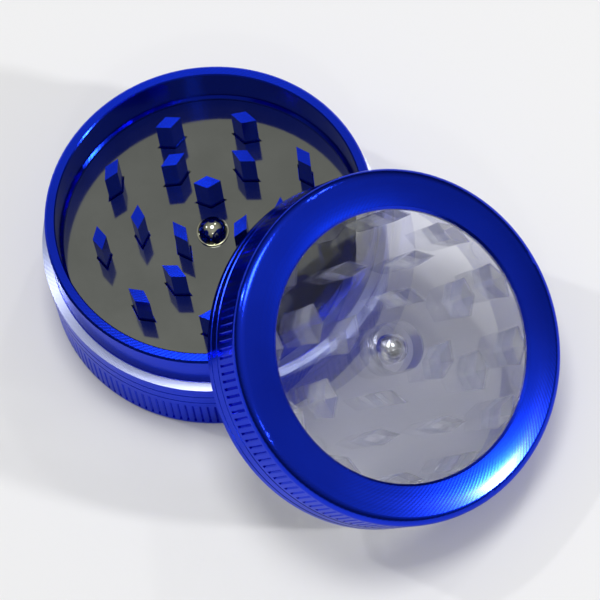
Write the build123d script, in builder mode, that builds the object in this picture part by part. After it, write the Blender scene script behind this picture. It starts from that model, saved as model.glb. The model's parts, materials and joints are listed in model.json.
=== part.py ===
from build123d import *
import os
from math import cos, radians, sin, tan

# A two-piece hand grinder of blue anodised aluminium, in millimetres.
# The base stands on its flat bottom, with the origin at the middle of that face.
# The lid leans on the base: one edge is on the ground, and the rim is under its tooth tips.

os.makedirs("parts", exist_ok=True)

# Base cup
BODY_R = 30.0
BASE_H = 23.66
BOTTOM_EDGE_R = 0.6
SHOULDER_Z = 15.37
SHOULDER_SLOPE = 12.0
NECK_R = 28.46
BORE_R = 26.62
RIM_CHAMFER = 0.2
NECK_LEAD_IN = 0.35
SEAT_R = 26.2
SEAT_STEP_Z = 16.2
FLOOR_Z = 14.5
PLATE_T = 0.8
BASE_GROOVES_Z = (9.6, 12.1)
BASE_KNURL_Z = (1.1, 8.0)

# Turned grooves and the cut notches that roughen both outer walls
GROOVE_W = 0.85
GROOVE_DEPTH = 0.38
NOTCHES = 144
NOTCH_SIDE = 0.36

# Base teeth: upright diamonds, pressed into sockets in the cup's floor, each with a wider foot
# rings of (ring radius, count, first azimuth, turn of the long diagonal from the radius)
TOOTH_TOP_Z = 22.8
SOCKET_DEPTH = 2.5
BASE_TOOTH = (4.7, 2.4)
BASE_TEETH = (
    (19.33, 9, 25.0, 90.0),
    (12.35, 6, 54.1, 90.0),
    (6.0, 3, 86.6, 90.0),
)
FOOT_GROW = 0.3
FOOT_SLOPE_H = 0.3
FOOT_SLOPE = 23.0
HOLE_GROW = 0.55

# Centre pin: a ball head and a flange on a stem that turns in the floor's bore
PIN_HEAD_R = 2.62
PIN_HEAD_Z = 15.5
PIN_FLANGE_R = 2.8
PIN_FLANGE_T = 0.3
PIN_STEM_R = 1.45
PIN_BORE_R = 1.5
PIN_BORE_END_Z = 9.0
PIN_LIFT = 0.03

# Lid ring, in its own frame: zero is the bottom of its skirt
LID_H = 12.98
CROWN_H = 13.38
LID_CORNER_R = 1.7
SKIRT_BORE_R = 28.92
SKIRT_LEAD_IN = 0.5
SKIRT_EDGE = 0.2
LIP_Z = 11.9
WINDOW_EDGE_R = 23.42
LIP_R = 23.02
CROWN_MID = (26.8, 13.33)
LID_GROOVES_Z = (1.83, 4.34)
LID_KNURL_Z = (5.5, 11.2)

# Window, one moulding with its teeth and its centre boss
FIT_GAP = 0.05
WINDOW_TOP_Z = 13.02
WINDOW_UNDER_Z = 10.9
LID_TOOTH = (6.7, 2.7)
LID_TOOTH_TIP_Z = 3.35
LID_TOOTH_TAPER = 1.4
# rings of (ring radius, count, first azimuth, turn of the long diagonal from the radius)
LID_TEETH = (
    (8.8, 4, 23.5, 90.0),
    (15.5, 4, 70.5, 65.6),
    (15.5, 4, 22.8, 111.5),
    (22.3, 12, 8.0, 90.0),
)
BOSS_R = 4.4
BOSS_END_Z = 4.2
BALL_R = 2.5
BALL_Z = 6.75

# Marks that the mould's ejector pins leave round the window's underside
PIN_MARK_R = 2.0
PIN_MARK_W = 0.12
PIN_MARK_DEPTH = 0.1
PIN_MARKS = (23.2, 6, 23.6)

# The lid's place: it leans away from the base, with its lowest edge at the ground
LEAN = 31.34
LEAN_AZIMUTH = -39.46
LID_CENTRE_XY = (24.02, -27.33)

lid_normal = Vector(
    sin(radians(LEAN)) * cos(radians(LEAN_AZIMUTH)),
    sin(radians(LEAN)) * sin(radians(LEAN_AZIMUTH)),
    cos(radians(LEAN)),
)
lid_downhill = Vector(
    cos(radians(LEAN)) * cos(radians(LEAN_AZIMUTH)),
    cos(radians(LEAN)) * sin(radians(LEAN_AZIMUTH)),
    -sin(radians(LEAN)),
)
lid_origin = Vector(*LID_CENTRE_XY, (BODY_R - SKIRT_EDGE) * sin(radians(LEAN)))
lid_plane = Plane(origin=lid_origin, x_dir=lid_downhill, z_dir=lid_normal)
lid_section = Plane(origin=lid_origin, x_dir=lid_downhill, z_dir=-lid_plane.y_dir)
lid_axis = Axis(lid_origin, lid_normal)


def groove_sketch(plane, heights):
    """Half sections of the V grooves in an outer wall."""
    with BuildSketch(plane) as grooves:
        with Locations(*[(BODY_R, z) for z in heights]):
            Polygon(
                (GROOVE_DEPTH, GROOVE_W / 2),
                (-GROOVE_DEPTH, 0),
                (GROOVE_DEPTH, -GROOVE_W / 2),
                align=None,
            )
    return grooves.sketch


def notch_sketch(plane):
    """Square notches all round an outer wall, each with one corner pointing inwards."""
    with BuildSketch(plane) as notches:
        with PolarLocations(BODY_R, NOTCHES):
            Rectangle(NOTCH_SIDE, NOTCH_SIDE, rotation=45)
    return notches.sketch


def diamond_sketch(plane, rings, size, grow=0.0):
    """Diamonds on rings of (radius, count, first azimuth, turn), each diagonal longer by grow."""
    half_long = (size[0] + 2 * grow) / 2
    half_short = (size[1] + grow) / 2
    with BuildSketch(plane) as diamonds:
        for radius, count, azimuth, turn in rings:
            with PolarLocations(radius, count, start_angle=azimuth):
                Polygon(
                    (half_long, 0),
                    (0, half_short),
                    (-half_long, 0),
                    (0, -half_short),
                    rotation=turn,
                )
    return diamonds.sketch


plate_top_z = FLOOR_Z + PLATE_T
socket_z = FLOOR_Z - SOCKET_DEPTH
shoulder_edge_z = SHOULDER_Z - (BODY_R - NECK_R) * tan(radians(SHOULDER_SLOPE))

# The cup: turned wall, a shoulder that slopes outwards, neck and floor, with the notched band, the pin's bore and the sockets
with BuildPart() as base_cup:
    with BuildSketch(Plane.XZ):
        with BuildLine():
            Polyline(
                (0, 0),
                (BODY_R, 0),
                (BODY_R, shoulder_edge_z),
                (NECK_R, SHOULDER_Z),
                (NECK_R, BASE_H),
                (BORE_R, BASE_H),
                (BORE_R, SEAT_STEP_Z),
                (SEAT_R, SEAT_STEP_Z - (BORE_R - SEAT_R)),
                (SEAT_R, FLOOR_Z),
                (0, FLOOR_Z),
                close=True,
            )
        make_face()
        fillet(vertices().sort_by_distance((BODY_R, 0, 0))[0], BOTTOM_EDGE_R)
    revolve(axis=Axis.Z)
    rim_inner, rim_outer = edges().filter_by(GeomType.CIRCLE).group_by(Axis.Z)[-1].sort_by(SortBy.RADIUS)
    chamfer(rim_inner, RIM_CHAMFER)
    chamfer(rim_outer, NECK_LEAD_IN)
    revolve(groove_sketch(Plane.XZ, BASE_GROOVES_Z), axis=Axis.Z, mode=Mode.SUBTRACT)
    extrude(
        notch_sketch(Plane.XY.offset(BASE_KNURL_Z[0])),
        amount=BASE_KNURL_Z[1] - BASE_KNURL_Z[0],
        mode=Mode.SUBTRACT,
    )
    with Locations((0, 0, FLOOR_Z)):
        Cylinder(
            PIN_BORE_R,
            FLOOR_Z - PIN_BORE_END_Z,
            align=(Align.CENTER, Align.CENTER, Align.MAX),
            mode=Mode.SUBTRACT,
        )
    extrude(
        diamond_sketch(Plane.XY.offset(socket_z), BASE_TEETH, BASE_TOOTH),
        amount=SOCKET_DEPTH,
        mode=Mode.SUBTRACT,
    )

# The 18 teeth: a tail in the socket, a wider foot through the plate, and the blade
with BuildPart() as base_teeth:
    extrude(
        diamond_sketch(Plane.XY.offset(socket_z), BASE_TEETH, BASE_TOOTH),
        amount=TOOTH_TOP_Z - socket_z,
    )
    extrude(
        diamond_sketch(Plane.XY.offset(FLOOR_Z), BASE_TEETH, BASE_TOOTH, FOOT_GROW),
        amount=PLATE_T,
    )
    extrude(
        diamond_sketch(Plane.XY.offset(plate_top_z), BASE_TEETH, BASE_TOOTH, FOOT_GROW),
        amount=FOOT_SLOPE_H,
        taper=FOOT_SLOPE,
    )

# The polished plate over the floor, with a diamond hole round each tooth
with BuildPart() as floor_plate:
    with BuildSketch(Plane.XY.offset(FLOOR_Z)):
        Circle(SEAT_R - FIT_GAP)
        Circle(PIN_BORE_R + FIT_GAP, mode=Mode.SUBTRACT)
    extrude(amount=PLATE_T)
    extrude(
        diamond_sketch(Plane.XY.offset(FLOOR_Z), BASE_TEETH, BASE_TOOTH, HOLE_GROW),
        amount=PLATE_T,
        mode=Mode.SUBTRACT,
    )

# The chrome pin in the middle of the floor, the axle that the lid turns about
with BuildPart() as centre_pin:
    with Locations((0, 0, PIN_HEAD_Z)):
        Sphere(PIN_HEAD_R)
    split(bisect_by=Plane.XY.offset(plate_top_z + PIN_LIFT), keep=Keep.TOP)
    with BuildSketch(Plane.XY.offset(plate_top_z + PIN_LIFT)):
        Circle(PIN_FLANGE_R)
    extrude(amount=PIN_FLANGE_T)
    with BuildSketch(Plane.XY.offset(PIN_BORE_END_Z + PIN_LIFT)):
        Circle(PIN_STEM_R)
    extrude(amount=plate_top_z - PIN_BORE_END_Z)

# The lid ring: skirt, knurl, rounded corner, crowned top and bright window edge
with BuildPart() as lid_ring:
    with BuildSketch(lid_section):
        with BuildLine():
            Polyline(
                (WINDOW_EDGE_R, CROWN_H),
                (LIP_R, WINDOW_TOP_Z),
                (LIP_R, LIP_Z),
                (SKIRT_BORE_R, LIP_Z),
                (SKIRT_BORE_R, SKIRT_LEAD_IN),
                (SKIRT_BORE_R + SKIRT_LEAD_IN, 0),
                (BODY_R - SKIRT_EDGE, 0),
                (BODY_R, SKIRT_EDGE),
                (BODY_R, LID_H),
            )
            ThreePointArc((BODY_R, LID_H), CROWN_MID, (WINDOW_EDGE_R, CROWN_H))
        make_face()
        fillet(vertices().sort_by_distance((BODY_R, LID_H, 0))[0], LID_CORNER_R)
    revolve(axis=lid_axis)
    revolve(groove_sketch(lid_section, LID_GROOVES_Z), axis=lid_axis, mode=Mode.SUBTRACT)
    extrude(
        notch_sketch(lid_plane.offset(LID_KNURL_Z[0])),
        amount=LID_KNURL_Z[1] - LID_KNURL_Z[0],
        mode=Mode.SUBTRACT,
    )

# The clear window: disc, flange under the lip, boss with a blind bore, and 24 teeth
with BuildPart() as lid_window:
    with BuildSketch(lid_section):
        with BuildLine():
            Polyline(
                (0, WINDOW_TOP_Z),
                (LIP_R - FIT_GAP, WINDOW_TOP_Z),
                (LIP_R - FIT_GAP, LIP_Z),
                (SKIRT_BORE_R - FIT_GAP, LIP_Z),
                (SKIRT_BORE_R - FIT_GAP, WINDOW_UNDER_Z),
                (BOSS_R, WINDOW_UNDER_Z),
                (BOSS_R, BOSS_END_Z),
                (BALL_R + FIT_GAP, BOSS_END_Z),
                (BALL_R + FIT_GAP, BALL_Z),
            )
            RadiusArc(
                (BALL_R + FIT_GAP, BALL_Z),
                (0, BALL_Z + BALL_R + FIT_GAP),
                -(BALL_R + FIT_GAP),
            )
            Line((0, BALL_Z + BALL_R + FIT_GAP), (0, WINDOW_TOP_Z))
        make_face()
    revolve(axis=lid_axis)
    extrude(
        diamond_sketch(lid_plane.offset(WINDOW_UNDER_Z), LID_TEETH, LID_TOOTH),
        amount=-(WINDOW_UNDER_Z - LID_TOOTH_TIP_Z),
        taper=LID_TOOTH_TAPER,
    )
    with BuildSketch(lid_plane.offset(WINDOW_UNDER_Z)):
        with PolarLocations(PIN_MARKS[0], PIN_MARKS[1], start_angle=PIN_MARKS[2]):
            Circle(PIN_MARK_R)
            Circle(PIN_MARK_R - PIN_MARK_W, mode=Mode.SUBTRACT)
    extrude(amount=PIN_MARK_DEPTH, mode=Mode.SUBTRACT)

# The steel ball in the boss
with BuildPart() as lid_ball:
    with Locations(lid_plane.offset(BALL_Z)):
        Sphere(BALL_R)

pieces = {
    "base_cup": base_cup,
    "base_teeth": base_teeth,
    "floor_plate": floor_plate,
    "centre_pin": centre_pin,
    "lid_ring": lid_ring,
    "lid_window": lid_window,
    "lid_ball": lid_ball,
}
for name, piece in pieces.items():
    piece.part.label = name
    export_step(piece.part, f"parts/{name}.step")
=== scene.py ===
"""Materials, floor, light and camera for a two-piece hand grinder of blue anodised aluminium.

Lengths are in metres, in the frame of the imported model: +Z up, zero at the middle of the base's underside.
"""

import json
import math

import bpy
from mathutils import Matrix, Vector

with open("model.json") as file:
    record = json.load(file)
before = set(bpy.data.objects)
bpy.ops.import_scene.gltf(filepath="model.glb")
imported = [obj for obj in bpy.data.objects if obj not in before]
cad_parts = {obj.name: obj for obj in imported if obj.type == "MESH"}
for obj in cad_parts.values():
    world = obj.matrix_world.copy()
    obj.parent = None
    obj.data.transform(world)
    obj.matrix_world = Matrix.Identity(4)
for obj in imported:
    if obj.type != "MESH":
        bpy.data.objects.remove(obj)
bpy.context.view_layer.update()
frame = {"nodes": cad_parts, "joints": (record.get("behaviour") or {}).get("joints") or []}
nodes = frame["nodes"]

# The lid leans: its axis runs through the ball's centre, which is a set height over its skirt's foot
level = next(joint for joint in frame["joints"] if joint["name"] == "lid_level")
LEAN = math.radians(31.34)
LEAN_AZIMUTH = math.radians(-39.46)
BALL_HEIGHT = 0.00675
LID_AXIS = Vector((0, 0, 1))
LID_AXIS.rotate(Matrix.Rotation(LEAN, 3, Vector((-math.sin(LEAN_AZIMUTH), math.cos(LEAN_AZIMUTH), 0))))
LID_FOOT = Vector(level["pos_m"]) - BALL_HEIGHT * LID_AXIS
BASE_AXIS = Vector((0, 0, 1))
BASE_FOOT = Vector((0, 0, 0))

# Heights and radii that the finishes change at
SHOULDER_FOOT = 0.01504
SHOULDER_TOP = 0.01537
NECK_RADIUS = 0.02846
WINDOW_UNDER = 0.0109
BOSS_OUTSIDE = (0.0046, 0.0052)

# Turning marks: noise cells to a metre of radius or height, and tool chatter waves to a radian of turn
MARKS_PER_METRE = 9000.0
CHATTER_PER_RADIAN = 190.0
POLISH_PER_METRE = 5000.0


class Tree:
    """A short way to write a material's nodes."""

    def __init__(self, name):
        self.material = bpy.data.materials.new(name)
        self.material.use_nodes = True
        self.nodes = self.material.node_tree.nodes
        self.links = self.material.node_tree.links
        self.shader = self.nodes["Principled BSDF"]

    def fill(self, socket, value):
        if isinstance(value, bpy.types.NodeSocket):
            self.links.new(value, socket)
        else:
            socket.default_value = value

    def add(self, kind, sockets=None, **settings):
        made = self.nodes.new(kind)
        for key, value in settings.items():
            setattr(made, key, value)
        for key, value in (sockets or {}).items():
            self.fill(made.inputs[key], value)
        return made

    def math(self, operation, *values):
        made = self.add("ShaderNodeMath", operation=operation)
        for socket, value in zip(made.inputs, values):
            self.fill(socket, value)
        return made.outputs[0]

    def vector(self, operation, *values):
        made = self.add("ShaderNodeVectorMath", operation=operation)
        for socket, value in zip(made.inputs, values):
            self.fill(socket, value)
        return made

    def join(self, x, y, z):
        return self.add("ShaderNodeCombineXYZ", {"X": x, "Y": y, "Z": z}).outputs[0]

    def noise(self, place, scale, detail=2.0, roughness=0.5):
        sockets = {"Vector": place, "Scale": scale, "Detail": detail, "Roughness": roughness}
        return self.add("ShaderNodeTexNoise", sockets).outputs["Fac"]

    def range(self, value, low, high, to_low, to_high):
        made = self.add("ShaderNodeMapRange", interpolation_type="SMOOTHSTEP")
        for socket, number in zip(made.inputs, (value, low, high, to_low, to_high)):
            self.fill(socket, number)
        return made.outputs[0]

    def ramp(self, value, stops):
        made = self.add("ShaderNodeValToRGB", {"Fac": value})
        elements = made.color_ramp.elements
        while len(elements) < len(stops):
            elements.new(0.5)
        for element, (place, colour) in zip(elements, stops):
            element.position = place
            element.color = (*colour, 1)
        return made.outputs["Color"]

    def mix(self, factor, one, other):
        made = self.add("ShaderNodeMix", {"Factor": factor}, data_type="RGBA")
        self.fill(made.inputs["A"], one)
        self.fill(made.inputs["B"], other)
        return made.outputs["Result"]

    def bump(self, height, strength, distance):
        sockets = {"Height": height, "Strength": strength, "Distance": distance}
        return self.add("ShaderNodeBump", sockets).outputs[0]

    def times(self, one, other):
        return self.math("MULTIPLY", one, other)

    def set(self, **values):
        for key, value in values.items():
            self.fill(self.shader.inputs[key.replace("_", " ")], value)


def turned_place(tree, foot, axis):
    """Radius, height and angle of a point about a turned part's axis, and the direction of turning."""
    across = axis.orthogonal().normalized()
    along = axis.cross(across)
    coordinates = tree.add("ShaderNodeTexCoord").outputs["Object"]
    offset = tree.vector("SUBTRACT", coordinates, tuple(foot)).outputs[0]
    x = tree.vector("DOT_PRODUCT", offset, tuple(across)).outputs["Value"]
    y = tree.vector("DOT_PRODUCT", offset, tuple(along)).outputs["Value"]
    height = tree.vector("DOT_PRODUCT", offset, tuple(axis)).outputs["Value"]
    radius = tree.math("SQRT", tree.math("ADD", tree.math("MULTIPLY", x, x), tree.math("MULTIPLY", y, y)))
    angle = tree.math("ARCTAN2", y, x)
    tangent = tree.vector("CROSS_PRODUCT", tuple(axis), offset).outputs[0]
    return radius, height, angle, tangent


def wear_and_highlight_face(tree, radius, height, face_foot, face_top, face_radius):
    """How pale a face between two heights and outside a radius is made: 0 is coated. The paler metal is
    partly rubbing by the other half and partly a painted highlight that makes the face's lamp reflection
    read white.
    """
    under_top = tree.range(height, face_top + 0.00001, face_top + 0.00004, 1.0, 0.0)
    over_foot = tree.range(height, face_foot - 0.00004, face_foot - 0.00001, 0.0, 1.0)
    outside = tree.range(radius, face_radius, face_radius + 0.0002, 0.0, 1.0)
    return tree.times(tree.times(tree.times(under_top, over_foot), outside), 0.75)


def anodised(name, foot, axis, wear_and_highlight_band=None):
    """Blue anodised aluminium with fine turning marks round the axis and a little tool chatter.

    The last argument gives the lowest height, highest height and inner radius of a face coloured as paler,
    uncoated metal:
    partly rubbed by the other half, partly a painted highlight that makes the face's lamp reflection read
    white.
    """
    tree = Tree(name)
    radius, height, angle, tangent = turned_place(tree, foot, axis)
    finely_out = tree.times(radius, MARKS_PER_METRE)
    marks_at = tree.join(finely_out, tree.times(height, MARKS_PER_METRE), 0.0)
    marks = tree.noise(marks_at, 1.0, 3.0, 0.7)
    chatter = tree.math("SINE", tree.math("ADD", tree.times(angle, CHATTER_PER_RADIAN), finely_out))
    drift_at = tree.join(tree.math("COSINE", angle), tree.math("SINE", angle), tree.times(radius, 60.0))
    drift = tree.noise(drift_at, 1.6, 2.0)
    tone = tree.ramp(drift, [(0.3, (0.002, 0.022, 0.56)), (0.7, (0.003, 0.030, 0.70))])
    rough = tree.math("ADD", 0.13, tree.times(marks, 0.12))
    if wear_and_highlight_band:
        # Paler uncoated metal on this face: partly wear, partly a painted highlight that turns its lamp
        # reflection white
        wear_and_highlight = wear_and_highlight_face(tree, radius, height, *wear_and_highlight_band)
        tone = tree.mix(wear_and_highlight, tone, (0.55, 0.60, 0.72, 1))
        rough = tree.math("ADD", rough, tree.times(wear_and_highlight, 0.15))
    relief = tree.math("ADD", marks, tree.times(chatter, 0.5))
    normal = tree.bump(relief, 0.10, 0.00003)
    tree.set(Base_Color=tone, Metallic=1.0, Roughness=rough, Normal=normal)
    # The grooves run round the axis, so light spreads across them
    tree.set(Anisotropic=0.6, Anisotropic_Rotation=0.25, Tangent=tangent)
    tree.set(Specular_Tint=(0.50, 0.55, 0.95, 1))
    tree.set(Coat_Weight=0.15, Coat_Roughness=0.12, Coat_IOR=1.6)
    return tree.material


def polished_plate(name):
    """Polished steel with faint circular polishing lines."""
    tree = Tree(name)
    radius, _, angle, _ = turned_place(tree, BASE_FOOT, BASE_AXIS)
    lines_at = tree.join(tree.times(radius, POLISH_PER_METRE), tree.times(angle, 2.0), 0.0)
    lines = tree.noise(lines_at, 1.0, 3.0, 0.6)
    place = tree.add("ShaderNodeTexCoord").outputs["Object"]
    film = tree.noise(place, 90.0, 4.0, 0.6)
    tone = tree.ramp(film, [(0.3, (0.215, 0.225, 0.205)), (0.75, (0.25, 0.26, 0.24))])
    rough = tree.math("ADD", 0.05, tree.times(film, 0.07))
    normal = tree.bump(lines, 0.04, 0.00002)
    tree.set(Base_Color=tone, Metallic=1.0, Roughness=rough, Normal=normal)
    return tree.material


def chrome(name, tone_low, tone_high):
    """Bright plating with light smears."""
    tree = Tree(name)
    place = tree.add("ShaderNodeTexCoord").outputs["Object"]
    smears = tree.noise(place, 700.0, 3.0, 0.6)
    tone = tree.ramp(smears, [(0.3, tone_low), (0.7, tone_high)])
    rough = tree.math("ADD", 0.03, tree.times(smears, 0.07))
    tree.set(Base_Color=tone, Metallic=1.0, Roughness=rough, Normal=tree.bump(smears, 0.03, 0.00002))
    return tree.material


def clear_moulding(name):
    """Clear acrylic, with the faces of the teeth a little frosted by their mould."""
    tree = Tree(name)
    radius, height, _, _ = turned_place(tree, LID_FOOT, LID_AXIS)
    on_teeth = tree.range(height, WINDOW_UNDER - 0.0004, WINDOW_UNDER, 1.0, 0.0)
    frosted = tree.times(on_teeth, tree.range(radius, *BOSS_OUTSIDE, 0.0, 1.0))
    rough = tree.math("ADD", 0.015, tree.times(frosted, 0.22))
    through = tree.math("SUBTRACT", 1.0, tree.times(frosted, 0.35))
    place = tree.add("ShaderNodeTexCoord").outputs["Object"]
    flow = tree.bump(tree.noise(place, 120.0, 2.0), 0.05, 0.0002)
    tree.set(Base_Color=(0.92, 0.935, 1.0, 1), Roughness=rough, IOR=1.49)
    tree.set(Alpha=0.65, Transmission_Weight=through, Normal=flow)
    return tree.material


def dress(node, material):
    """Gives a CAD node its finish, in its own slots."""
    mesh = nodes[node].data
    mesh.materials.clear()
    mesh.materials.append(material)


base_blue = anodised("base_anodised", BASE_FOOT, BASE_AXIS, wear_and_highlight_band=(SHOULDER_FOOT, SHOULDER_TOP, NECK_RADIUS))
dress("base_cup", base_blue)
dress("base_teeth", base_blue)
dress("lid_ring", anodised("lid_anodised", LID_FOOT, LID_AXIS))
dress("floor_plate", polished_plate("plate_steel"))
dress("centre_pin", chrome("pin_chrome", (0.42, 0.42, 0.31), (0.52, 0.52, 0.41)))
dress("lid_ball", chrome("ball_chrome", (0.70, 0.70, 0.68), (0.82, 0.82, 0.80)))
dress("lid_window", clear_moulding("window_acrylic"))

# Floor
FLOOR_SIDE = 3.0
bpy.ops.mesh.primitive_plane_add(size=FLOOR_SIDE)
floor = bpy.context.object
floor.name = "floor"
paper = Tree("floor_paper")
paper.set(Base_Color=(0.86, 0.86, 0.86, 1), Roughness=0.9, Specular_IOR_Level=0.1)
floor.data.materials.append(paper.material)


AIM = Vector((0.012, -0.014, 0.015))


def direction(azimuth, elevation):
    """The place a metre from the middle of the object, at a bearing and height in degrees."""
    a, e = math.radians(azimuth), math.radians(elevation)
    return AIM + Vector((math.cos(a) * math.cos(e), math.sin(a) * math.cos(e), math.sin(e)))


def softbox(name, place, width, height, power):
    """An area light at place, facing the object."""
    lamp = bpy.data.lights.new(name, "AREA")
    lamp.shape = "RECTANGLE"
    lamp.size = width
    lamp.size_y = height
    lamp.energy = power
    stand = bpy.data.objects.new(name, lamp)
    stand.location = place
    stand.rotation_euler = (AIM - place).to_track_quat("-Z", "Y").to_euler()
    bpy.context.collection.objects.link(stand)


# A large lamp overhead lights the room, and four small ones make the highlights
softbox("overhead", direction(95, 81), 0.34, 0.30, 4.1)
softbox("front", direction(-94, 51), 0.05, 0.05, 0.3)
softbox("right", direction(-23, 27), 0.06, 0.05, 3.4)
softbox("back", direction(55, 49), 0.05, 0.05, 0.5)
softbox("left", direction(153, 45), 0.035, 0.035, 1.3)

# The room: darker at the horizon than overhead
HORIZON_LIGHT = 0.08
ZENITH_LIGHT = 0.55
CLIMB_FROM = 0.3
world = bpy.data.worlds.new("studio")
bpy.context.scene.world = world
world.use_nodes = True
sky = world.node_tree.nodes["Background"]
bearing = world.node_tree.nodes.new("ShaderNodeTexCoord")
split = world.node_tree.nodes.new("ShaderNodeSeparateXYZ")
climb = world.node_tree.nodes.new("ShaderNodeMapRange")
sky.inputs["Color"].default_value = (1, 1, 1, 1)
climb.inputs["From Min"].default_value = CLIMB_FROM
climb.inputs["To Min"].default_value = HORIZON_LIGHT
climb.inputs["To Max"].default_value = ZENITH_LIGHT
world.node_tree.links.new(bearing.outputs["Generated"], split.inputs[0])
world.node_tree.links.new(split.outputs["Z"], climb.inputs["Value"])
world.node_tree.links.new(climb.outputs[0], sky.inputs["Strength"])

# Camera: a long lens, high over the front edge, turned a little about its own axis
CAMERA_PLACE = Vector((0.01331, -0.22400, 0.46765))
CAMERA_ELEVATION = math.radians(65.24)
CAMERA_ROLL = math.radians(-8.34)
SENSOR = 36.0
LENS = 173.5
CLIP_START = 0.01

forward = Vector((0, math.cos(CAMERA_ELEVATION), -math.sin(CAMERA_ELEVATION)))
horizontal = Vector((1, 0, 0))
upright = horizontal.cross(forward)
right = horizontal * math.cos(CAMERA_ROLL) + upright * math.sin(CAMERA_ROLL)
up = right.cross(forward)
optics = bpy.data.cameras.new("camera")
optics.sensor_width = SENSOR
optics.lens = LENS
optics.clip_start = CLIP_START
camera = bpy.data.objects.new("camera", optics)
turned = Matrix((right, up, -forward)).transposed().to_4x4()
camera.matrix_world = Matrix.Translation(CAMERA_PLACE) @ turned
bpy.context.collection.objects.link(camera)
bpy.context.scene.camera = camera
bpy.context.scene.view_settings.view_transform = "Standard"
